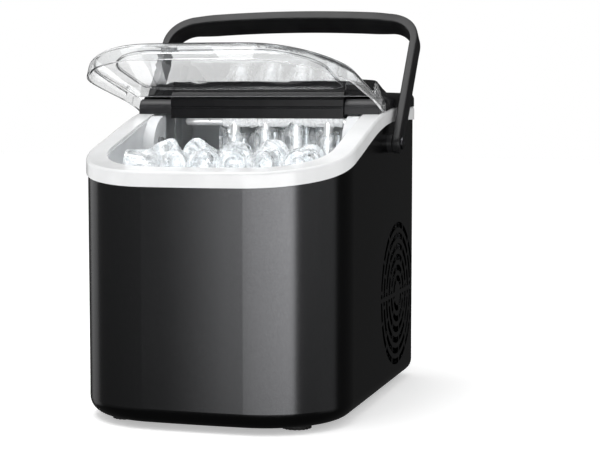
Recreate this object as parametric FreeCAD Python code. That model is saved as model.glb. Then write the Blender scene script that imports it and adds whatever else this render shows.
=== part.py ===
import FreeCAD, Part
import math
import os

# Countertop bullet-ice maker with a carry handle.
# +Z is up, the front faces -Y and +X is on the right of somebody facing the front.
# Shapes are drawn with y measured back from the front face; save() then moves them by half the
# depth, so that the origin lies at the bottom centre. Lengths are millimetres, angles degrees.

Vec = FreeCAD.Vector

# ---- driving dimensions ----
BODY_W = 222.0
BODY_D = 310.0
FRONT_R = 72.0
REAR_R = 17.0
BOW = 5.5
WALL = 2.0
FOOT_H = 4.0
BOTTOM_R = 13.0
FLOOR_Z = FOOT_H + WALL

# side view of the lower edge of the white rim: depth, height
RIM_EDGE = [(-8, 190.0), (0, 191.5), (40, 199.4), (75, 209.2), (105, 218.0), (135, 227.2),
            (165, 234.6), (205, 240.0), (245, 241.5), (325, 241.5)]
RIM_H = 12.0
RIM_PROUD = 1.5
RIM_WEB = 2.5
RIM_INNER = 15.5
CAP_Z = RIM_EDGE[-1][1] + RIM_H

LINER_INSET = 14.5
LINER_T = 2.0
TUB_BACK = 158.0
TUB_FLOOR = 66.0
SHELF_BACK = 262.0
SHELF_FLOOR = 136.0

HINGE_Y = 174.0
HINGE_Z = 253.0
HINGE_PIN_R = 2.0
LID_HW = 112.4
LID_T = 2.2
LID_H = 17.0
LID_H_REAR = 10.0
LID_GAP = 0.5
LID_SETBACK = 6.4
LID_BACK = 153.0
LID_OPEN = 28.0
WINDOW_HW = 89.0
WINDOW_FRONT = 26.0
WINDOW_BACK = 131.0
WINDOW_R = 46.0

PIVOT_Y = 195.0
PIVOT_Z = 221.7
ARM_X = 119.2
STRAP_T = 7.0
STRAP_W = 18.0
HANDLE_LEN = 135.5
HANDLE_LEAN = 38.3
HANDLE_R = 30.0
GRIP_ARCH = 4.0
GRIP_W = 21.5
GRIP_EXTRA = 2.6
GRIP_HALF = 90.0
HANDLE_PIN_R = 4.0

GRILLE_Y = 233.0
GRILLE_Z = 86.0
GRILLE_R = 64.0
FAN_R = 44.0

FINGER_PITCH = 28.8
FINGER_R = 4.25
FRONT_ROW_Y = 193.0
BACK_ROW_Y = 222.0
MANIFOLD_Z = 240.0
MANIFOLD_R = 3.5
FINGER_TIP_Z = 192.0

BULLET_R = 11.0
BULLET_L = 26.0
BULLET_CORE_R = 4.6

TRAY_AXIS_Y = 243.0
TRAY_AXIS_Z = 211.0
TRAY_HX = 74.0

NOSE_GROOVE = 0.9
PANEL_TOP = 277.0
CREST_X = 86.0
CREST_BACK = 236.0
PANEL_Y = 238.0
BUTTONS = {"button_power": -36.0, "button_size": 0.0, "button_clean": 36.0}
BUTTON_R = 6.8

DRAIN_Y = 100.0
DRAIN_Z = 74.0

BASKET_INSET = 20.0
BASKET_BACK = 131.0
BASKET_FLOOR = 150.0
BASKET_RISE = -18.0

SENSOR_Y = 150.0
SENSOR_Z = 222.0

COMP_X = -52.0
COMP_Y = 228.0
COMP_R = 45.0
COMP_TOP = 118.0
OUTLET_X = -58.0
INLET_X = -75.0
PIPES_Y = 284.0

RUN = 0.05


# ---- general helpers ----
def box(x0, x1, y0, y1, z0, z1):
    return Part.makeBox(x1 - x0, y1 - y0, z1 - z0, Vec(x0, y0, z0))


def rod(radius, start, end):
    a = Vec(*start)
    b = Vec(*end)
    return Part.makeCylinder(radius, (b - a).Length, a, b - a)


def tube(outer, inner, start, end):
    return rod(outer, start, end).cut(rod(inner, start, end))


def fuse(shapes):
    shapes = list(shapes)
    whole = shapes[0]
    if len(shapes) > 1:
        whole = shapes[0].multiFuse(shapes[1:])
    return whole.removeSplitter()


def turned(shape, angle, centre, axis=(1, 0, 0)):
    out = shape.copy()
    out.rotate(Vec(*centre), Vec(*axis), angle)
    return out


def mirrored(shape):
    return shape.mirror(Vec(0, 0, 0), Vec(1, 0, 0))


def both_sides(shape):
    return Part.makeCompound([shape, mirrored(shape)])


def upright_edges(shape, test):
    found = []
    for edge in shape.Edges:
        a, b = edge.Vertexes[0].Point, edge.Vertexes[-1].Point
        if math.hypot(a.x - b.x, a.y - b.y) < 0.01 and test(a):
            found.append(edge)
    return found


def rounded_box(x0, x1, y0, y1, z0, z1, radius):
    block = box(x0, x1, y0, y1, z0, z1)
    return block.makeFillet(radius, upright_edges(block, lambda p: True))


def prism(inset, z0, z1):
    """Plan outline of the body, moved inwards by inset, from z0 to z1."""
    hw = BODY_W / 2 - inset
    back = BODY_D - inset
    front = BOW + inset
    corners = [Vec(hw, front, z0), Vec(hw, back, z0), Vec(-hw, back, z0), Vec(-hw, front, z0)]
    bow = Part.Arc(corners[3], Vec(0, inset, z0), corners[0]).toShape()
    edges = [Part.makeLine(corners[i], corners[i + 1]) for i in range(3)] + [bow]
    block = Part.Face(Part.Wire(edges)).extrude(Vec(0, 0, z1 - z0))
    block = block.makeFillet(FRONT_R - inset, upright_edges(block, lambda p: p.y < BODY_D / 2))
    rear = upright_edges(block, lambda p: p.y > back - 1 and abs(p.x) > hw - 1)
    return block.makeFillet(max(REAR_R - inset, 1.0), rear)


def rim_curve(rise):
    curve = Part.BSplineCurve()
    curve.interpolate([Vec(-150, y, z + rise) for y, z in RIM_EDGE])
    return curve.toShape()


def lid_rise(y):
    """Height of the closed lid above the rim: tallest at the front, falling to the rear."""
    return LID_H + (LID_H_REAR - LID_H) * y / LID_BACK


def below_lid(drop):
    """Everything below the closed lid's upper surface, lowered by drop."""
    curve = Part.BSplineCurve()
    tops = [(y, z + RIM_H + lid_rise(y) - drop) for y, z in RIM_EDGE[:7]]
    curve.interpolate([Vec(-150, y, z) for y, z in tops])
    last, first = tops[-1][0], tops[0][0]
    points = [Vec(-150, *tops[-1]), Vec(-150, last, 0), Vec(-150, first, 0), Vec(-150, *tops[0])]
    edges = [curve.toShape()] + [Part.makeLine(points[i], points[i + 1]) for i in range(3)]
    return Part.Face(Part.Wire(edges)).extrude(Vec(300, 0, 0))


def beside_rim(rise, far_z):
    """Everything between the rim's side-view curve, lifted by rise, and the level far_z."""
    y0, y1 = RIM_EDGE[0][0], RIM_EDGE[-1][0]
    z0, z1 = RIM_EDGE[0][1] + rise, RIM_EDGE[-1][1] + rise
    points = [Vec(-150, y1, z1), Vec(-150, y1, far_z), Vec(-150, y0, far_z), Vec(-150, y0, z0)]
    edges = [rim_curve(rise)] + [Part.makeLine(points[i], points[i + 1]) for i in range(3)]
    return Part.Face(Part.Wire(edges)).extrude(Vec(300, 0, 0))


def below(rise):
    return beside_rim(rise, -10.0)


def above(rise):
    return beside_rim(rise, 400.0)


def pipe(points, radius, bend):
    """Round tube along straight runs joined by arcs of the radius bend."""
    pts = [Vec(*p) for p in points]
    edges = []
    start = pts[0]
    for before, corner, after in zip(pts, pts[1:], pts[2:]):
        way_in = (corner - before).normalize()
        way_out = (after - corner).normalize()
        half = way_in.getAngle(way_out) / 2
        reach = bend * math.tan(half)
        first = corner - way_in * reach
        last = corner + way_out * reach
        inward = (way_out - way_in).normalize()
        middle = corner + inward * (bend / math.cos(half) - bend)
        edges.append(Part.makeLine(start, first))
        edges.append(Part.Arc(first, middle, last).toShape())
        start = last
    edges.append(Part.makeLine(start, pts[-1]))
    path = Part.Wire(edges)
    section = Part.Wire([Part.makeCircle(radius, pts[0], pts[1] - pts[0])])
    return path.makePipeShell([section], True, False)


# ---- outer casing ----
def ring_slots():
    """Concentric ring slots through the right side wall, broken by staggered ribs."""
    slots = []
    for ring in range(6):
        radius = 13.5 + 9.6 * ring
        count = 4 + 2 * ring
        band = tube(radius + 2.6, radius - 2.6, (BODY_W / 2 - 8, GRILLE_Y, GRILLE_Z),
                    (BODY_W / 2 + 4, GRILLE_Y, GRILLE_Z))
        ribs = [box(BODY_W / 2 - 9, BODY_W / 2 + 5, GRILLE_Y - 70, GRILLE_Y + 70,
                    GRILLE_Z - 1.8, GRILLE_Z + 1.8)]
        for k in range(count):
            angle = 360.0 / count * (k + 0.5 * (ring % 2) + 0.25)
            rib = box(BODY_W / 2 - 9, BODY_W / 2 + 5, GRILLE_Y, GRILLE_Y + 72,
                      GRILLE_Z - 1.6, GRILLE_Z + 1.6)
            ribs.append(turned(rib, angle, (0, GRILLE_Y, GRILLE_Z)))
        slots.append(band.cut(ribs[0].multiFuse(ribs[1:])))
    return slots


def side_vents():
    """Rows of upright intake slots through the left side wall."""
    slots = []
    for row in range(3):
        for k in range(9):
            y = 190.0 + 10.0 * k
            z = 46.0 + 30.0 * row
            slots.append(box(-BODY_W / 2 - 4, -BODY_W / 2 + 8, y, y + 4.0, z, z + 22.0))
    return slots


def outer_housing():
    shell = prism(0, FOOT_H, 260)
    floor_edges = [e for e in shell.Edges if max(v.Z for v in e.Vertexes) < FOOT_H + 0.01]
    shell = shell.makeFillet(BOTTOM_R, floor_edges)
    hollow = prism(WALL, FLOOR_Z, 270)
    floor_edges = [e for e in hollow.Edges if max(v.Z for v in e.Vertexes) < FLOOR_Z + 0.01]
    hollow = hollow.makeFillet(BOTTOM_R - WALL, floor_edges)
    shell = shell.common(below(0)).cut(hollow)
    cuts = [prism(26, -2, 20), box(-84, 84, 295, 320, 26, 216)]
    for side in (-1, 1):
        cuts.append(rod(5.0, (side * 100, PIVOT_Y, PIVOT_Z), (side * 120, PIVOT_Y, PIVOT_Z)))
    cuts.append(rod(8.3, (-120, DRAIN_Y, DRAIN_Z), (-100, DRAIN_Y, DRAIN_Z)))
    return shell.cut(cuts + ring_slots() + side_vents())


def base_pan():
    plate = prism(18, FLOOR_Z, FLOOR_Z + 2)
    ribs = [box(-60, 60, y, y + 3, FLOOR_Z + 2, FLOOR_Z + 5) for y in (60, 100, 140)]
    return fuse([plate] + ribs)


def feet():
    """Four round rubber feet with ribbed sides under the housing floor."""
    made = []
    for x, y in ((-72, 44), (72, 44), (-84, 282), (84, 282)):
        foot = rod(12.0, (x, y, 0), (x, y, FOOT_H))
        notches = []
        for k in range(20):
            notch = box(x + 11.2, x + 13, y - 0.9, y + 0.9, -1, FOOT_H - 0.8)
            notches.append(turned(notch, 18.0 * k, (x, y, 0), (0, 0, 1)))
        made.append(foot.cut(notches))
    return Part.makeCompound(made)


def rear_cover():
    plate = box(-90, 90, BODY_D, BODY_D + 1.5, 20, 222)
    corners = [e for e in plate.Edges if abs(e.Vertexes[0].Y - e.Vertexes[-1].Y) > 1]
    plate = plate.makeFillet(8.0, corners)
    slots = [rod(6.1, (66, BODY_D - 3, 42), (66, BODY_D + 5, 42))]
    for row in range(12):
        z = 70.0 + 8.0 * row
        for x0 in (-66, 4):
            slots.append(box(x0, x0 + 62, BODY_D - 2, BODY_D + 4, z, z + 3.5))
    return plate.cut(slots)


def rear_screws():
    made = []
    face = BODY_D + 1.5
    for x in (-86.5, 86.5):
        for z in (34, 120, 208):
            rim = rod(3.4, (x, face, z), (x, face + 0.6, z))
            crown = Part.makeCone(3.4, 2.4, 0.7, Vec(x, face + 0.6, z), Vec(0, 1, 0))
            slot = box(x - 2.0, x + 2.0, face + 0.7, face + 3, z - 0.4, z + 0.4)
            made.append(fuse([rim, crown]).cut(slot))
    return Part.makeCompound(made)


def cord_gland():
    """Moulded collar in the rear cover through which the supply lead enters."""
    body = tube(6.0, 3.6, (66, BODY_D - 6, 42), (66, BODY_D + 1.5, 42))
    flange = tube(9.0, 3.6, (66, BODY_D + 1.5, 42), (66, BODY_D + 2.6, 42))
    return fuse([body, flange])


def top_rim():
    """White rim: a slim channel that caps the wall and follows the side-view curve."""
    band = prism(-RIM_PROUD, 150, 300).common(below(RIM_H)).common(above(0))
    web_edge = [e for e in band.Edges if on_top_edge(e)]
    band = band.makeFillet(2.5, web_edge)
    hollow = prism(RIM_PROUD, 150, 300).common(below(RIM_H - RIM_WEB))
    return band.cut([hollow, prism(RIM_INNER, 150, 300)])


def rim_height(y):
    curve = Part.BSplineCurve()
    curve.interpolate([Vec(0, d, z) for d, z in RIM_EDGE])
    cut = curve.toShape().common(box(-1, 1, y - 0.01, y + 0.01, 0, 400))
    return cut.BoundBox.Center.z


def on_top_edge(edge):
    p = edge.valueAt((edge.FirstParameter + edge.LastParameter) / 2)
    q = edge.Vertexes[0].Point
    return all(abs(v.z - rim_height(v.y) - RIM_H) < 0.15 for v in (p, q))


# ---- rear deck, control panel and hinge ----
def deck_section(shrink, crest_x):
    """Cross-section of the deck: rounded shoulders and a raised platform crest_x wide each way."""
    s = shrink
    c = crest_x - s
    right = [Vec(112.3 - s, 0, 240), Vec(112.3 - s, 0, 257.5)]
    shoulder = Part.Arc(right[1], Vec(109.4 - s, 0, 263.4 - s), Vec(103 - s, 0, 265.8 - s)).toShape()
    ledge = Part.makeLine(Vec(103 - s, 0, 265.8 - s), Vec(c + 13, 0, 265.8 - s))
    slope = Part.Arc(Vec(c + 13, 0, 265.8 - s), Vec(c + 9.6, 0, 269.9 - s),
                     Vec(c + 5, 0, 275.6 - s)).toShape()
    crest = Part.Arc(Vec(c + 5, 0, 275.6 - s), Vec(c + 3, 0, PANEL_TOP - 0.4 - s),
                     Vec(c, 0, PANEL_TOP - s)).toShape()
    half = [Part.makeLine(right[0], right[1]), shoulder, ledge, slope, crest]
    other = [e.mirror(Vec(0, 0, 0), Vec(1, 0, 0)) for e in half]
    roof = Part.makeLine(Vec(c, 0, PANEL_TOP - s), Vec(-c, 0, PANEL_TOP - s))
    base = Part.makeLine(Vec(-112.3 + s, 0, 240), Vec(112.3 - s, 0, 240))
    wire = Part.Wire(Part.__sortEdges__(half + [roof] + other + [base]))
    return Part.Face(wire)


def deck_side(shrink):
    """Side view of the deck: rounded nose over the hinge, level platform, falling back edge."""
    s = shrink
    nose = HINGE_Y - 11 + s
    back = BODY_D - 0.5 - s
    pts = [Vec(0, nose, 243), Vec(0, nose, 259), Vec(0, nose + 3.2, 266 - s),
           Vec(0, nose + 10, 270.2 - s), Vec(0, nose + 32, PANEL_TOP - s),
           Vec(0, 288 - s, PANEL_TOP - s), Vec(0, back, 257), Vec(0, back, 243)]
    edges = [Part.makeLine(pts[0], pts[1]),
             Part.Arc(pts[1], pts[2], pts[3]).toShape(),
             Part.makeLine(pts[3], pts[4]),
             Part.makeLine(pts[4], pts[5]),
             Part.Arc(pts[5], Vec(0, back - 5, 268.5 - s), pts[6]).toShape(),
             Part.makeLine(pts[6], pts[7]),
             Part.makeLine(pts[7], pts[0])]
    return Part.Face(Part.Wire(edges)).extrude(Vec(300, 0, 0)).translated(Vec(-150, 0, 0))


def deck_body(shrink):
    wide = deck_section(shrink, CREST_X).extrude(Vec(0, CREST_BACK - shrink, 0))
    narrow = deck_section(shrink, CREST_X - 15).extrude(Vec(0, 400, 0))
    body = wide.fuse(narrow)
    return body.common(deck_side(shrink)).common(prism(shrink - 1.3, 230, 300))


def top_deck():
    """Gloss rear cover: platform, nose bar between the hinge blocks, panel pocket."""
    shell = deck_body(0).cut(deck_body(2.5).common(box(-150, 150, 0, 320, 230, 300)))
    rear = shell.common(above(RIM_H)).common(box(-150, 150, HINGE_Y + 8, 320, 200, 300))
    nose = shell.common(box(-78.5, 78.5, 150, HINGE_Y + 8, 243, 300))
    lower = box(-78.5, 78.5, HINGE_Y + 5, HINGE_Y + 8, 243, 290).common(deck_body(0))
    deck = fuse([rear, nose, lower])
    cuts = [rounded_box(-62, 62, PANEL_Y - 26, PANEL_Y + 26, PANEL_TOP - 1.6, 290, 8)]
    for y, z in ((HINGE_Y - 11, 252.5), (HINGE_Y - 10.3, 260.9), (HINGE_Y - 5.4, 268.0)):
        cuts.append(rod(NOSE_GROOVE, (-78.5, y, z), (78.5, y, z)))
    for x in BUTTONS.values():
        cuts.append(rod(BUTTON_R + 0.4, (x, PANEL_Y, 260), (x, PANEL_Y, 290)))
    for x in (-24, -12, 0, 12, 24):
        cuts.append(rod(2.0, (x, PANEL_Y + 17, 260), (x, PANEL_Y + 17, 290)))
    return deck.cut(cuts)


def control_panel():
    plate = rounded_box(-61.8, 61.8, PANEL_Y - 25.8, PANEL_Y + 25.8, PANEL_TOP - 1.6,
                        PANEL_TOP - 0.1, 7.8)
    cuts = []
    for x in BUTTONS.values():
        cuts.append(rod(BUTTON_R + 0.4, (x, PANEL_Y, 260), (x, PANEL_Y, 290)))
    for x in (-24, -12, 0, 12, 24):
        cuts.append(rod(2.0, (x, PANEL_Y + 17, 260), (x, PANEL_Y + 17, 290)))
    return plate.cut(cuts)


def button(x):
    """Push button: domed cap on a flanged stem under the deck skin."""
    stem = rod(BUTTON_R, (x, PANEL_Y, PANEL_TOP - 7), (x, PANEL_Y, PANEL_TOP + 0.8))
    stem = stem.makeFillet(0.7, [e for e in stem.Edges if e.BoundBox.ZMin > PANEL_TOP])
    flange = rod(8.6, (x, PANEL_Y, PANEL_TOP - 7), (x, PANEL_Y, PANEL_TOP - 5.6))
    return fuse([stem, flange])


def indicator_lenses():
    return Part.makeCompound([
        rod(1.95, (x, PANEL_Y + 17, PANEL_TOP - 4.6), (x, PANEL_Y + 17, PANEL_TOP + 0.1))
        for x in (-24, -12, 0, 12, 24)])


def display_board():
    board = box(-56, 56, PANEL_Y - 20, PANEL_Y + 24, 262.6, 264.2)
    posts = []
    for x in (-52, 52):
        posts.append(rod(2.5, (x, PANEL_Y - 16, 264.2), (x, PANEL_Y - 16, PANEL_TOP - 2.5)))
        posts.append(rod(2.5, (x, PANEL_Y + 20, 264.2), (x, PANEL_Y + 20, PANEL_TOP - 2.5)))
    switches = []
    for x in BUTTONS.values():
        switches.append(box(x - 3, x + 3, PANEL_Y - 3, PANEL_Y + 3, 264.2, 267.2))
        switches.append(rod(1.7, (x, PANEL_Y, 267.2), (x, PANEL_Y, 268.8)))
    return fuse([board] + posts + switches)


def hinge_block(side):
    """Rounded black block on the rim that carries one lid hinge pin."""
    centre = (0, HINGE_Y, HINGE_Z - 1.8)
    x0, x1 = 79.0, 109.8
    barrel = rod(8.6, (x0, centre[1], centre[2]), (x1, centre[1], centre[2]))
    skirt = box(x0, x1, HINGE_Y - 8.6, HINGE_Y + 7.6, 240, centre[2])
    block = fuse([barrel, skirt]).common(above(RIM_H + 0.05))
    block = block.common(prism(1.6, 200, 300))
    block = block.cut(rod(HINGE_PIN_R + 0.02, (90, HINGE_Y, HINGE_Z), (120, HINGE_Y, HINGE_Z)))
    return block if side > 0 else mirrored(block)


def hinge_pins():
    pin = rod(HINGE_PIN_R, (90, HINGE_Y, HINGE_Z), (LID_HW, HINGE_Y, HINGE_Z))
    return both_sides(pin)


# ---- lid ----
def lid_plan(inset, back):
    outline = prism(BODY_W / 2 - LID_HW + inset, 150, 320).translated(Vec(0, LID_SETBACK, 0))
    return outline.common(box(-150, 150, -10, back, 150, 320))


def lid_window(inset):
    """Plan of the clear window: large front corners and small rear ones."""
    hw = WINDOW_HW - inset
    front, back = WINDOW_FRONT + inset, WINDOW_BACK - inset
    block = box(-hw, hw, front, back, 150, 320)
    block = block.makeFillet(WINDOW_R - inset, upright_edges(block, lambda p: p.y < front + 1))
    rear = upright_edges(block, lambda p: p.y > back - 1 and abs(p.x) > hw - 1)
    return block.makeFillet(12.0 - inset, rear)


def lid_closed():
    """Clear skin open below and at the rear, with a raised bead round its window."""
    outer = lid_plan(0, LID_BACK).common(below_lid(0)).common(above(RIM_H + LID_GAP))
    outer = outer.makeFillet(7.0, [e for e in outer.Edges if on_lid_edge(e)])
    inner = lid_plan(LID_T, LID_BACK + 5).common(below_lid(LID_T))
    bead = lid_window(0).cut(lid_window(2.2)).common(below_lid(-1.6)).cut(below_lid(LID_T / 2))
    return fuse([outer.cut(inner), bead] + [lid_ear(1), lid_ear(-1)])


def on_lid_edge(edge):
    """True for the edges round the top of the skirt, leaving the rear one sharp."""
    p = edge.valueAt((edge.FirstParameter + edge.LastParameter) / 2)
    ends = [v.Point for v in edge.Vertexes]
    high = all(abs(q.z - rim_height(q.y) - RIM_H - lid_rise(q.y)) < 0.4 for q in ends + [p])
    return high and p.y < LID_BACK - 1


def lid_ear(side):
    """Thin ear at the lid's rear corner that turns on the hinge pin."""
    x0, x1 = LID_HW - LID_T, LID_HW
    arm = box(x0, x1, LID_BACK - 14, HINGE_Y, 240, HINGE_Z + 4.2).common(above(RIM_H + LID_GAP))
    eye = rod(4.2, (x0, HINGE_Y, HINGE_Z), (x1, HINGE_Y, HINGE_Z))
    ear = fuse([arm, eye]).cut(rod(HINGE_PIN_R + RUN, (x0 - 1, HINGE_Y, HINGE_Z),
                                   (x1 + 1, HINGE_Y, HINGE_Z)))
    return ear if side > 0 else mirrored(ear)


def lid():
    return turned(lid_closed(), -LID_OPEN, (0, HINGE_Y, HINGE_Z))


# ---- carry handle ----
def handle_outline(half_width, top, radius, arch):
    shoulder = half_width - radius
    diag = radius * (1 - math.sqrt(0.5))
    pts = [Vec(half_width, 0, 0), Vec(half_width, 0, top - radius), Vec(shoulder, 0, top),
           Vec(-shoulder, 0, top), Vec(-half_width, 0, top - radius), Vec(-half_width, 0, 0)]
    edges = [Part.makeLine(pts[0], pts[1]),
             Part.Arc(pts[1], Vec(half_width - diag, 0, top - diag), pts[2]).toShape(),
             Part.Arc(pts[2], Vec(0, 0, top + arch), pts[3]).toShape(),
             Part.Arc(pts[3], Vec(diag - half_width, 0, top - diag), pts[4]).toShape(),
             Part.makeLine(pts[4], pts[5]),
             Part.makeLine(pts[5], pts[0])]
    return Part.Face(Part.Wire(edges))


def handle():
    """Bent strap: two arms and a slightly arched grip, leaning back at rest."""
    half = STRAP_T / 2
    outer = handle_outline(ARM_X + half, HANDLE_LEN + half + GRIP_EXTRA, HANDLE_R, GRIP_ARCH)
    inner = handle_outline(ARM_X - half, HANDLE_LEN - half, HANDLE_R - STRAP_T, GRIP_ARCH)
    strap = outer.cut(inner).extrude(Vec(0, STRAP_W, 0)).translated(Vec(0, -STRAP_W / 2, 0))
    grip = outer.cut(inner).extrude(Vec(0, GRIP_W, 0)).translated(Vec(0, -GRIP_W / 2, 0))
    strap = strap.fuse(grip.common(box(-GRIP_HALF, GRIP_HALF, -50, 50, 60, 200)))
    ends = []
    holes = []
    for side in (-1, 1):
        ends.append(rod(STRAP_W / 2, (side * (ARM_X - half), 0, 0), (side * (ARM_X + half), 0, 0)))
        holes.append(rod(HANDLE_PIN_R + RUN, (side * 100, 0, 0), (side * 140, 0, 0)))
    strap = fuse([strap] + ends).cut(holes).translated(Vec(0, PIVOT_Y, PIVOT_Z))
    return turned(strap, -HANDLE_LEAN, (0, PIVOT_Y, PIVOT_Z))


def handle_bosses():
    """Stub axles fixed in the side walls: collar outside, threaded root inside."""
    inside = BODY_W / 2 - WALL
    face = ARM_X - STRAP_T / 2 - 0.3
    collar = rod(8.2, (BODY_W / 2, PIVOT_Y, PIVOT_Z), (face, PIVOT_Y, PIVOT_Z))
    root = rod(4.9, (inside, PIVOT_Y, PIVOT_Z), (BODY_W / 2, PIVOT_Y, PIVOT_Z))
    nut = rod(7.5, (inside - 4, PIVOT_Y, PIVOT_Z), (inside, PIVOT_Y, PIVOT_Z))
    pin = rod(HANDLE_PIN_R, (face, PIVOT_Y, PIVOT_Z), (ARM_X + STRAP_T / 2 + 0.2, PIVOT_Y, PIVOT_Z))
    return both_sides(fuse([collar, root, nut, pin]))


def handle_screws():
    x0 = ARM_X + STRAP_T / 2 + 0.2
    head = rod(5.6, (x0, PIVOT_Y, PIVOT_Z), (x0 + 1.5, PIVOT_Y, PIVOT_Z))
    slot = box(x0 + 0.8, x0 + 2, PIVOT_Y - 3.4, PIVOT_Y + 3.4, PIVOT_Z - 0.6, PIVOT_Z + 0.6)
    cross = box(x0 + 0.8, x0 + 2, PIVOT_Y - 0.6, PIVOT_Y + 0.6, PIVOT_Z - 3.4, PIVOT_Z + 3.4)
    return both_sides(head.cut([slot, cross]))


# ---- tub, basket and ice ----
def tub_space(inset, back, floor, rise):
    return prism(inset, floor, 300).common(box(-150, 150, 0, back, floor, 300)).common(below(rise))


def inner_liner():
    """Light tub: deep in front for the basket, with a raised shelf behind for the evaporator."""
    rise = RIM_H - RIM_WEB
    outer = fuse([tub_space(LINER_INSET, TUB_BACK, TUB_FLOOR - LINER_T, rise),
                  tub_space(LINER_INSET, SHELF_BACK, SHELF_FLOOR - LINER_T, rise)])
    inset = LINER_INSET + LINER_T
    hollow = fuse([tub_space(inset, TUB_BACK - LINER_T, TUB_FLOOR, rise + 5),
                   tub_space(inset, SHELF_BACK - LINER_T, SHELF_FLOOR, rise + 5)])
    cuts = [hollow, rod(7.05, (-110, DRAIN_Y, DRAIN_Z), (-90, DRAIN_Y, DRAIN_Z))]
    for x in (INLET_X, OUTLET_X):
        cuts.append(rod(MANIFOLD_R + 1, (x, 255, MANIFOLD_Z), (x, 270, MANIFOLD_Z)))
    return outer.cut(cuts)


def insulation_foam():
    block = prism(WALL + 1.5, 54, 190).common(box(-150, 150, 0, TUB_BACK - LINER_T, 54, 190))
    tub = tub_space(LINER_INSET - 0.2, 400, TUB_FLOOR - LINER_T - 0.2, RIM_H)
    block = block.common(below(-3)).cut(tub)
    return block.cut(rod(8.3, (-120, DRAIN_Y, DRAIN_Z), (-90, DRAIN_Y, DRAIN_Z)))


def tub_cheek(side):
    """Quarter-round cheek on the tub wall beside the water tray."""
    centre_y, centre_z, radius = 166.0, 214.0, 32.0
    disc = rod(radius, (-94.4, centre_y, centre_z), (-84, centre_y, centre_z))
    lower = box(-94.4, -84, centre_y - radius, centre_y, SHELF_FLOOR + 20, centre_z)
    cheek = fuse([disc.common(box(-100, 0, 100, centre_y, centre_z - 1, 300)), lower])
    cheek = cheek.common(box(-100, 0, 0, 165, 0, 245))
    return cheek if side < 0 else mirrored(cheek)


def ice_basket():
    outer = tub_space(BASKET_INSET, BASKET_BACK, BASKET_FLOOR, BASKET_RISE)
    hollow = tub_space(BASKET_INSET + 1.8, BASKET_BACK - 1.8, BASKET_FLOOR + 2, 10)
    slots = []
    for k in range(-6, 7):
        x = 12.0 * k
        slots.append(box(x - 2, x + 2, 50, 115, BASKET_FLOOR - 5, BASKET_FLOOR + 5))
        slots.append(box(x - 2, x + 2, BASKET_BACK - 5, BASKET_BACK + 5, 162, 192))
    return outer.cut(hollow).cut(slots)


def basket_rails():
    """Two ledges on the tub wall that carry the basket above the water."""
    rail = box(-94.4, -86, 96, BASKET_BACK, BASKET_FLOOR - 5, BASKET_FLOOR - 0.2)
    return both_sides(rail)


def bullet():
    """Ice bullet with its flat, hollow end at the origin and its domed end up +Z."""
    body = rod(BULLET_R, (0, 0, 0), (0, 0, BULLET_L))
    body = body.makeFillet(6.0, [e for e in body.Edges if e.BoundBox.ZMin > BULLET_L - 1])
    return body.cut(rod(BULLET_CORE_R, (0, 0, -1), (0, 0, BULLET_L * 0.6)))


def placed_bullet(x, y, z, azimuth, tilt):
    """Bullet centred at x, y, z, leaned from upright by tilt towards azimuth."""
    piece = bullet().translated(Vec(0, 0, -BULLET_L / 2))
    piece = turned(piece, tilt, (0, 0, 0), (0, 1, 0))
    piece = turned(piece, azimuth, (0, 0, 0), (0, 0, 1))
    return piece.translated(Vec(x, y, z))


def ice_in_basket():
    """Three layers of bullets: lying across, lying front to back, then a loose heap."""
    first = BASKET_FLOOR + 2.0 + BULLET_R + 0.4
    layer = 2 * BULLET_R + 0.4
    made = []
    for row, columns in enumerate((4, 5, 5, 5)):
        for k in range(columns):
            x = 28.0 * (k - (columns - 1) / 2)
            made.append(placed_bullet(x, 42.0 + 24.0 * row, first, 0, 90))
    for row, columns in enumerate((5, 7, 7)):
        for k in range(columns):
            x = 23.6 * (k - (columns - 1) / 2)
            made.append(placed_bullet(x, 47.0 + 28.0 * row, first + layer, 90 + 180 * (k % 2), 90))
    heap = [(-60, 48, 8, 90), (-29, 47, 96, 90), (-4, 46, 84, 90), (20, 46, 100, 90),
            (44.5, 47, 90, 90), (69, 55, 110, 90), (-50, 84, 200, 20), (-20, 81, 75, 118),
            (10, 80, 105, 112), (41, 81, 80, 60), (71, 86, 95, 75), (-64, 114, 0, 80),
            (-33, 114, 180, 62), (0, 113, 10, 75), (31, 114, 175, 66), (62.5, 114, 0, 84)]
    for x, y, azimuth, tilt in heap:
        lean = math.radians(tilt)
        reach = BULLET_L / 2 * abs(math.cos(lean)) + BULLET_R * math.sin(lean)
        made.append(placed_bullet(x, y, first + layer + BULLET_R + 0.4 + reach, azimuth, tilt))
    return Part.makeCompound(made)


# ---- evaporator and water tray ----
def finger_places():
    front = [(FINGER_PITCH * k, FRONT_ROW_Y) for k in range(-1, 3)]
    back = [(FINGER_PITCH * (k + 0.5), BACK_ROW_Y) for k in range(-2, 2)]
    return front + back


def evaporator_manifold():
    """Serpentine refrigerant tube above the fingers."""
    route = [(INLET_X, 276, MANIFOLD_Z), (INLET_X, FRONT_ROW_Y, MANIFOLD_Z),
             (80, FRONT_ROW_Y, MANIFOLD_Z), (80, BACK_ROW_Y, MANIFOLD_Z),
             (OUTLET_X, BACK_ROW_Y, MANIFOLD_Z), (OUTLET_X, 276, MANIFOLD_Z)]
    return pipe(route, MANIFOLD_R, 9.0)


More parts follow.
